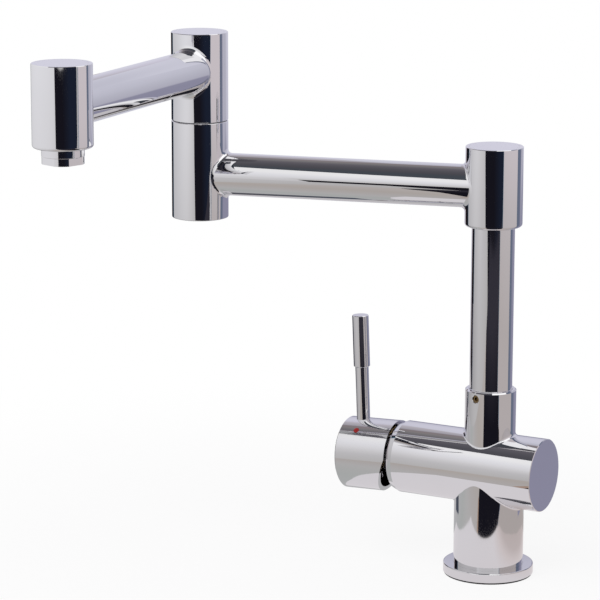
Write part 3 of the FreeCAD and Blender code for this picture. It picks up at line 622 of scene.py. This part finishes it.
# ---------------------------------------------------------------- sub-assemblies
@dataclass
class DeckFoot:
    """Gasket, flange, column and the block inside it that takes the hoses and the stud."""

    hose_thread_r: float = 5.0 * MM
    hose_pitch: float = 1.0 * MM
    stud_thread_r: float = 4.0 * MM
    stud_pitch: float = 1.25 * MM
    thread_share: float = 0.62
    crest: tuple = (0.38, 0.52)
    flank_end: float = 0.9
    rooted: float = 0.01 * MM
    lead_in: float = 0.1 * MM
    run_out: float = 1.8 * MM
    hose_places: tuple = ((-9.0 * MM, -8.0 * MM), (-9.0 * MM, 8.0 * MM))
    stud_place: tuple = (9.0 * MM, 0.0)
    nodes: tuple = (
        "base_gasket", "base_flange", "base_column", "inlet_block", "inlet_block_seals",
        "inlet_block_screws",
    )

    def thread(self, name: str, place: tuple[float, float], radius: float, pitch: float,
               low: float, high: float) -> bpy.types.Object:
        """The raised helix of an inside thread.

        Args:
            name: The piece's name.
            place: The hole's place in plan.
            radius: The hole's radius.
            pitch: Rise of one turn.
            low: Lower end.
            high: Upper end.

        Returns:
            The thread.
        """
        depth = self.thread_share * pitch
        section = [
            (radius + self.rooted, 0.0), (radius - depth, self.crest[0] * pitch),
            (radius - depth, self.crest[1] * pitch), (radius + self.rooted, self.flank_end * pitch),
        ]
        shape = Shape(name)
        centre = Vector((*place, low))
        shape.helix(centre, section, pitch, (high - low) / pitch - 1.0)
        return shape.finish()

    def build(self, wardrobe: Wardrobe) -> None:
        """Dresses the foot's nodes and winds the threads of the block.

        Args:
            wardrobe: Where the finishes come from.
        """
        for node in self.nodes:
            wardrobe.dress(node)
        low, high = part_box("inlet_block")
        bottom, top = low.z + self.lead_in, high.z - self.run_out
        threads = [
            (f"hose_thread_{index + 1}", place, self.hose_thread_r, self.hose_pitch)
            for index, place in enumerate(self.hose_places)
        ]
        threads.append(("stud_thread", self.stud_place, self.stud_thread_r, self.stud_pitch))
        for name, place, radius, pitch in threads:
            piece = self.thread(name, place, radius, pitch, bottom, top)
            finish = wardrobe.turned(Slot.BRASS, "inlet_block", UP)
            wardrobe.put_on(piece, finish, "tap_body")


@dataclass
class ValveBody:
    """Barrel and collar with the screw that keeps the riser, and the cartridge's fixed pieces."""

    upright: tuple = ("valve_body", "riser_screw", "riser_washer")
    in_line: tuple = (
        "cartridge_base", "cartridge_port_seals", "fixed_disc", "cartridge_housing", "cartridge_nut",
    )

    def build(self, wardrobe: Wardrobe) -> None:
        """Dresses the body's nodes.

        Args:
            wardrobe: Where the finishes come from.
        """
        for node in self.upright:
            wardrobe.dress(node)
        for node in self.in_line:
            wardrobe.dress(node, BARREL_AXIS)


@dataclass
class Handle:
    """Lever, handle cap and everything in the cartridge that it moves."""

    in_line: tuple = (
        "moving_disc", "disc_driver", "cartridge_rotor", "rotor_o_ring", "cartridge_spindle", "handle_cap",
    )
    across: tuple = ("spindle_pin",)
    upright: tuple = ("handle_grub_screw", "index_button", "lever_rod", "lever_grip")

    def build(self, wardrobe: Wardrobe) -> None:
        """Dresses the handle's nodes.

        Args:
            wardrobe: Where the finishes come from.
        """
        for node in self.in_line:
            wardrobe.dress(node, BARREL_AXIS)
        for node in self.across:
            wardrobe.dress(node, Vector((0, 1, 0)))
        for node in self.upright:
            wardrobe.dress(node)


@dataclass
class LowerArm:
    """Riser, first knuckle, lower arm and the post of the middle joint."""

    nodes: tuple = (
        "riser_spigot", "riser_o_rings", "riser_tube", "lower_arm", "knuckle_cap", "column_plug",
        "lower_arm_plug_seals", "elbow_post", "elbow_o_rings", "elbow_retaining_ring", "elbow_washer",
    )

    def build(self, wardrobe: Wardrobe) -> None:
        """Dresses the lower arm's nodes.

        Args:
            wardrobe: Where the finishes come from.
        """
        for node in self.nodes:
            wardrobe.dress(node)


@dataclass
class UpperArm:
    """Upper arm with its caps, and the spout head's inside."""

    nodes: tuple = ("elbow_bush", "upper_arm", "column_cap", "head_cap", "upper_arm_plug_seals")

    def build(self, wardrobe: Wardrobe) -> None:
        """Dresses the upper arm's nodes.

        Args:
            wardrobe: Where the finishes come from.
        """
        for node in self.nodes:
            wardrobe.dress(node)


@dataclass
class Aerator:
    """Adapter, aerator housing and what is inside them."""

    nodes: tuple = (
        "aerator_adapter", "aerator_washer", "aerator_housing", "aerator_insert", "flow_limiter",
        "aerator_screen",
    )

    def build(self, wardrobe: Wardrobe) -> None:
        """Dresses the aerator's nodes.

        Args:
            wardrobe: Where the finishes come from.
        """
        for node in self.nodes:
            wardrobe.dress(node)


# ---------------------------------------------------------------- studio
class Light(Enum):
    """What a studio card does with light."""

    CARD = "card"
    FLAG = "flag"


@dataclass(frozen=True)
class Card:
    """A flat reflector or flag that only shows in the polished steel.

    Corners are (across, near, up) in metres from the column's foot. The stops give its colours
    along a direction, in metres from the same point. The fade dims it from its back to its front.
    """

    name: str
    kind: Light
    corners: tuple
    stops: tuple
    direction: Vector = UP
    fade: tuple = ()

    def material(self) -> bpy.types.Material:
        """An even glow in the card's colours."""
        recipe = Recipe(self.name)
        glow = recipe.node("ShaderNodeEmission")
        recipe.feed(glow.inputs["Color"], recipe.bands(recipe.along(self.direction), self.stops))
        if self.fade:
            recipe.feed(glow.inputs["Strength"], recipe.ranged(recipe.along(NEAR), *self.fade, smooth=True))
        out = recipe.tree.nodes["Material Output"]
        recipe.tree.links.new(glow.outputs[0], out.inputs["Surface"])
        return recipe.material

    def build(self) -> None:
        """Makes the card and hides it from the camera, diffuse light, shadows and transmission."""
        mesh = bmesh.new()
        mesh.faces.new([mesh.verts.new(in_studio(*corner)) for corner in self.corners])
        data = bpy.data.meshes.new(self.name)
        mesh.to_mesh(data)
        mesh.free()
        card = bpy.data.objects.new(self.name, data)
        bpy.context.scene.collection.objects.link(card)
        data.materials.append(self.material())
        card.visible_camera = False
        card.visible_diffuse = False
        card.visible_shadow = False
        card.visible_transmission = False
        log.info("set up %s (%s)", self.name, self.kind.value)


def in_studio(across: float, near: float, up: float) -> Vector:
    """A point given from the camera's side.

    Args:
        across: To the camera's right.
        near: Towards the camera.
        up: Above the deck.

    Returns:
        The point in the model's frame.
    """
    return ACROSS * across + NEAR * near + UP * up


def upright(left: tuple, right: tuple, low: float, high: float) -> tuple:
    """Corners of a standing card.

    Args:
        left: Across and near of one foot.
        right: Across and near of the other foot.
        low: Height of its lower edge.
        high: Height of its upper edge.

    Returns:
        The corners.
    """
    return ((*left, low), (*right, low), (*right, high), (*left, high))


def lying(height: float, *places: tuple) -> tuple:
    """Corners of a card that lies level.

    Args:
        height: Its height.
        *places: Across and near of each corner.

    Returns:
        The corners.
    """
    return tuple((*place, height) for place in places)


NIGHT = tone(24, 23, 31)
DUSK = tone(55, 53, 62)
NAVY = tone(29, 35, 51)
RUST = (0.28, 0.16, 0.10)
SLATE = (0.10, 0.17, 0.24)
HAZE = (0.30, 0.295, 0.40)
LAMP_WHITE = (1.25, 1.25, 1.25)
ROSE = (0.48, 0.435, 0.42)
LEFT_TILT = 0.2
CARDS = (
    Card(
        "left_card", Light.CARD,
        (
            (-0.40, -0.235, 0.0), (-0.40, 0.745, 0.0), (-0.40, 0.56, 0.112), (-0.40, 0.487, 0.175),
            (-0.40, 0.46, 0.235), (-0.40, 0.43, 0.31), (-0.40, 0.80, 0.33), (-0.40, 0.80, 0.915),
            (-0.40, -0.235, 0.43),
        ),
        (
            (-0.10, (0.53, 0.515, 0.51)), (0.0, (0.57, 0.56, 0.56)), (0.08, (0.61, 0.60, 0.61)),
            (0.15, (0.70, 0.69, 0.70)), (0.23, (0.81, 0.805, 0.825)), (0.31, (0.88, 0.88, 0.91)),
            (0.40, (0.95, 0.95, 0.97)), (0.47, (1.0, 1.0, 1.0)),
        ),
        UP - NEAR * LEFT_TILT, (-0.22, 0.14, 0.74, 1.0),
    ),
    Card(
        "left_gap", Light.FLAG, upright((-0.40, -0.235), (-0.30, -0.545), 0.0, 0.34),
        ((0.235, SLATE), (0.275, NIGHT), (0.47, NIGHT), (0.545, RUST)), -NEAR,
    ),
    Card(
        "right_card", Light.CARD, upright((0.22, 0.35), (0.30, -0.05), 0.0, 0.48),
        (
            (0.0, (0.53, 0.485, 0.48)), (0.10, (0.53, 0.485, 0.475)), (0.18, (0.585, 0.545, 0.55)),
            (0.24, (0.69, 0.63, 0.655)), (0.48, (0.74, 0.69, 0.71)),
        ),
    ),
    Card(
        "right_edge", Light.FLAG, upright((0.2185, 0.352), (0.2215, 0.337), 0.0, 0.48),
        ((0.0, SLATE), (0.48, SLATE)),
    ),
    Card(
        "right_lamp", Light.CARD, upright((0.22, 0.35), (0.30, -0.05), 0.48, 0.95),
        ((0.48, LAMP_WHITE), (0.95, LAMP_WHITE)),
    ),
    Card(
        "top_lamp", Light.CARD, lying(0.95, (0.05, -0.30), (1.1, -0.30), (1.1, 0.95), (0.05, 0.95)),
        ((0.0, LAMP_WHITE), (1.0, LAMP_WHITE)),
    ),
    Card(
        "right_wing", Light.CARD, upright((0.30, -0.05), (0.318, -0.20), 0.0, 0.70),
        ((0.05, (0.15, 0.18, 0.25)), (0.14, (0.16, 0.185, 0.265)), (0.20, HAZE)), -NEAR,
    ),
    Card(
        "far_wing", Light.CARD, upright((0.318, -0.20), (0.36, -0.55), 0.0, 1.0),
        (
            (0.0, HAZE), (0.145, (0.31, 0.305, 0.41)), (0.19, (0.50, 0.495, 0.585)),
            (0.37, (0.57, 0.57, 0.66)), (0.46, (0.61, 0.61, 0.705)), (0.62, (0.65, 0.65, 0.75)),
        ),
    ),
    Card(
        "backdrop", Light.CARD, upright((-1.4, -0.55), (0.36, -0.55), 0.0, 1.3),
        (
            (0.0, (0.60, 0.60, 0.68)), (0.40, (0.71, 0.705, 0.81)), (0.47, (0.72, 0.71, 0.82)),
            (0.57, (0.68, 0.66, 0.77)), (0.68, (0.55, 0.52, 0.57)), (0.95, (0.43, 0.415, 0.46)),
            (1.05, (0.27, 0.23, 0.245)), (1.3, (0.26, 0.235, 0.24)),
        ),
    ),
    Card(
        "backdrop_right", Light.CARD, upright((-0.12, -0.549), (0.36, -0.549), 0.0, 0.95),
        (
            (0.0, HAZE), (0.145, HAZE), (0.18, (0.58, 0.575, 0.68)), (0.36, (0.71, 0.70, 0.81)),
            (0.47, (0.72, 0.71, 0.82)), (0.66, (0.70, 0.70, 0.80)), (0.74, (0.65, 0.65, 0.75)),
            (0.95, (0.55, 0.54, 0.62)),
        ),
    ),
    Card(
        "ceiling", Light.FLAG, lying(1.3, (-1.6, -0.55), (1.0, -0.55), (1.0, 1.2), (-1.6, 1.2)),
        (
            (-0.55, (0.27, 0.25, 0.25)), (-0.42, (0.22, 0.21, 0.22)), (-0.18, (0.14, 0.13, 0.15)),
            (0.09, (0.103, 0.10, 0.116)), (0.33, (0.086, 0.084, 0.098)), (0.60, (0.068, 0.078, 0.094)),
        ),
        NEAR,
    ),
    Card(
        "front_flag", Light.FLAG, upright((-1.4, 1.1), (1.4, 1.1), -0.2, 1.3),
        ((-0.5, NIGHT), (0.0, NIGHT), (0.5, NAVY)), ACROSS + UP,
    ),
    Card(
        "front_card", Light.CARD, upright((-1.10, 1.09), (0.70, 1.09), 0.22, 1.05),
        ((0.22, (0.64, 0.63, 0.63)), (0.55, (0.86, 0.86, 0.88)), (1.05, (1.0, 1.0, 1.0))),
    ),
    Card(
        "floor_far", Light.CARD,
        lying(0.0004, (-0.6, -0.55), (0.6, -0.55), (0.6, 1.0), (-0.6, 1.0)),
        (
            (-0.20, (0.62, 0.60, 0.62)), (-0.10, (0.50, 0.50, 0.51)), (-0.02, (0.47, 0.485, 0.475)),
            (0.05, (0.51, 0.50, 0.495)), (0.10, (0.50, 0.475, 0.465)), (0.22, (0.49, 0.45, 0.42)),
            (0.45, (0.53, 0.49, 0.47)),
        ),
        NEAR,
    ),
    Card(
        "floor_right", Light.CARD,
        lying(0.0006, (0.05, -0.12), (0.6, -0.12), (0.6, 1.0), (0.3, 1.0), (0.05, 0.13)),
        ((0.09, ROSE), (0.20, ROSE), (0.40, (0.53, 0.485, 0.48))), ACROSS,
    ),
    Card(
        "floor_sheet", Light.CARD,
        lying(
            0.0008, (-0.100, -0.085), (-0.114, -0.035), (-0.127, -0.005), (-0.137, 0.030),
            (-0.143, 0.080), (-0.061, 0.1052), (-0.020, 0.1165), (0.058, 0.1355), (0.074, 0.128),
            (0.085, 0.102), (0.092, 0.087), (0.108, 0.060), (0.117, 0.020), (0.113, -0.040),
            (0.092, -0.085),
        ),
        (
            (-0.13, (0.77, 0.745, 0.77)), (0.02, (0.78, 0.745, 0.765)), (0.055, (0.72, 0.65, 0.645)),
            (0.080, (0.60, 0.53, 0.52)), (0.12, (0.57, 0.50, 0.485)),
        ),
        ACROSS,
    ),
    Card(
        "floor_gap", Light.FLAG,
        lying(0.0009, (-0.140, -0.065), (-0.113, -0.111), (-0.33, -0.40), (-0.40, -0.235)),
        ((0.09, (0.06, 0.08, 0.12)), (0.20, (0.10, 0.10, 0.12)), (0.5, NIGHT)), -ACROSS,
    ),
    Card(
        "floor_shade", Light.CARD,
        lying(0.0009, (0.150, -0.03), (0.13, -0.55), (0.6, -0.55), (0.6, -0.03)),
        ((0.1, HAZE), (0.4, HAZE)), ACROSS,
    ),
    Card(
        "floor_rim_left", Light.CARD,
        lying(0.0010, (-0.084, 0.1015), (-0.068, 0.104), (-0.115, 0.170), (-0.136, 0.172)),
        ((0.10, (0.42, 0.30, 0.24)), (0.18, (0.42, 0.30, 0.24))), NEAR,
    ),
    Card(
        "floor_rim_right", Light.FLAG,
        lying(0.0010, (0.056, 0.134), (0.062, 0.1365), (0.105, 0.1745), (0.094, 0.176)),
        ((0.0, (0.03, 0.07, 0.14)), (0.1, (0.03, 0.07, 0.14))), ACROSS,
    ),
    Card(
        "floor_front", Light.FLAG,
        lying(
            0.0012, (-0.0735, 0.1030), (-0.061, 0.1052), (-0.020, 0.1165), (0.058, 0.1355),
            (0.079, 0.154), (0.096, 0.173), (0.20, 0.28), (0.30, 0.44), (0.75, 1.1), (-0.41, 1.1),
            (-0.41, 0.634), (-0.327, 0.493), (-0.243, 0.375), (-0.125, 0.172),
        ),
        ((0.10, NIGHT), (0.40, NIGHT), (0.75, DUSK)), NEAR,
    ),
    Card(
        "floor_side", Light.FLAG,
        lying(0.0012, (-0.41, 0.40), (-0.41, 1.1), (-1.4, 1.1), (-1.4, 0.40)),
        ((0.40, NIGHT), (1.1, NIGHT)), NEAR,
    ),
)


@dataclass
class Studio:
    """Pale floor, white surroundings, one soft lamp, and the cards that the steel reflects."""

    floor_half: float = 8.0
    clear_radius: float = 0.55
    shadow_share: float = 0.12
    shadow_centre: tuple = (-0.1, -0.05, 0.0)
    shadow_radius: float = 0.15
    lamp_size: float = 1.3
    lamp_power: float = 16.0
    lamp_place: tuple = (-0.7, 0.7, 1.4)
    lamp_aim: tuple = (-0.1, 0.0, 0.1)
    sky: float = 0.55

    def floor(self) -> None:
        """Lays the floor: white to the camera far away, and shaded by the tap near it."""
        mesh = bmesh.new()
        bmesh.ops.create_grid(mesh, x_segments=8, y_segments=8, size=self.floor_half)
        data = bpy.data.meshes.new("floor")
        mesh.to_mesh(data)
        mesh.free()
        floor = bpy.data.objects.new("floor", data)
        bpy.context.scene.collection.objects.link(floor)
        recipe = Recipe("floor")
        grain = recipe.noise(120.0, 4.0)
        recipe.feed(
            recipe.shader.inputs["Base Color"],
            recipe.mixed(recipe.ranged(grain, 0.3, 0.7), (0.80, 0.785, 0.79), (0.77, 0.755, 0.76)),
        )
        recipe.feed(recipe.shader.inputs["Roughness"], 0.65)
        recipe.feed(recipe.shader.inputs["Normal"], recipe.bump(grain, 5e-5))
        white = recipe.node("ShaderNodeEmission")
        white.inputs["Color"].default_value = (1.0, 1.0, 1.0, 1.0)
        rays = recipe.node("ShaderNodeLightPath")
        away = recipe.ranged(
            recipe.from_axis(Vector(self.shadow_centre), UP), self.shadow_radius, self.clear_radius,
            1.0 - self.shadow_share, 1.0, smooth=True,
        )
        share = recipe.sum("MULTIPLY", rays.outputs["Is Camera Ray"], away)
        mix = recipe.node("ShaderNodeMixShader")
        recipe.feed(mix.inputs[0], share)
        recipe.tree.links.new(recipe.shader.outputs[0], mix.inputs[1])
        recipe.tree.links.new(white.outputs[0], mix.inputs[2])
        recipe.tree.links.new(mix.outputs[0], recipe.tree.nodes["Material Output"].inputs["Surface"])
        data.materials.append(recipe.material)

    def world(self) -> None:
        """White behind everything for the camera, and an even sky for the rest."""
        world = bpy.data.worlds.new("surroundings")
        bpy.context.scene.world = world
        world.use_nodes = True
        tree = world.node_tree
        tree.nodes.clear()
        rays = tree.nodes.new("ShaderNodeLightPath")
        white = tree.nodes.new("ShaderNodeBackground")
        white.inputs["Color"].default_value = (1.0, 1.0, 1.0, 1.0)
        white.inputs["Strength"].default_value = 1.0
        sky = tree.nodes.new("ShaderNodeBackground")
        sky.inputs["Color"].default_value = (0.98, 0.98, 1.0, 1.0)
        sky.inputs["Strength"].default_value = self.sky
        mix = tree.nodes.new("ShaderNodeMixShader")
        out = tree.nodes.new("ShaderNodeOutputWorld")
        tree.links.new(rays.outputs["Is Camera Ray"], mix.inputs[0])
        tree.links.new(sky.outputs[0], mix.inputs[1])
        tree.links.new(white.outputs[0], mix.inputs[2])
        tree.links.new(mix.outputs[0], out.inputs["Surface"])

    def lamp(self) -> None:
        """Hangs one soft lamp to the upper left; the steel doesn't mirror it."""
        data = bpy.data.lights.new("soft_lamp", "AREA")
        data.shape = "SQUARE"
        data.size = self.lamp_size
        data.energy = self.lamp_power
        lamp = bpy.data.objects.new("soft_lamp", data)
        lamp.location = in_studio(*self.lamp_place)
        aim = in_studio(*self.lamp_aim) - lamp.location
        lamp.rotation_euler = aim.to_track_quat("-Z", "Y").to_euler()
        lamp.visible_glossy = False
        bpy.context.scene.collection.objects.link(lamp)

    def build(self) -> None:
        """Sets the studio up."""
        self.floor()
        self.world()
        self.lamp()
        for card in CARDS:
            card.build()


@dataclass
class Camera:
    """The camera that the photo was taken with, as fitted to the tap's outlines."""

    lens: float = 180.0
    sensor: float = 36.0

    def build(self) -> None:
        """Places the camera and makes it the scene's."""
        back = NEAR * math.cos(CAMERA_RISE) + UP * math.sin(CAMERA_RISE)
        up = ACROSS.cross(-back)
        right = ACROSS * math.cos(CAMERA_ROLL) + up * math.sin(CAMERA_ROLL)
        top = up * math.cos(CAMERA_ROLL) - ACROSS * math.sin(CAMERA_ROLL)
        place = back * CAMERA_DISTANCE + ACROSS * CAMERA_AIM[0] + UP * CAMERA_AIM[1]
        turn = Matrix((right, top, back)).transposed().to_4x4()
        data = bpy.data.cameras.new("camera")
        data.lens = self.lens
        data.sensor_width = self.sensor
        data.clip_end = 100.0
        camera = bpy.data.objects.new("camera", data)
        camera.matrix_world = Matrix.Translation(place) @ turn
        bpy.context.scene.collection.objects.link(camera)
        bpy.context.scene.camera = camera


def main() -> None:
    """Builds the sub-assemblies in order, then the studio and the camera."""
    logging.basicConfig(level=logging.INFO, format="%(name)s: %(message)s")
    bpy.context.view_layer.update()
    wardrobe = Wardrobe()
    for assembly in (DeckFoot(), ValveBody(), Handle(), LowerArm(), UpperArm(), Aerator()):
        assembly.build(wardrobe)
    Studio().build()
    Camera().build()
    bpy.context.scene.view_settings.view_transform = "Standard"


if __name__ == "__main__":
    main()
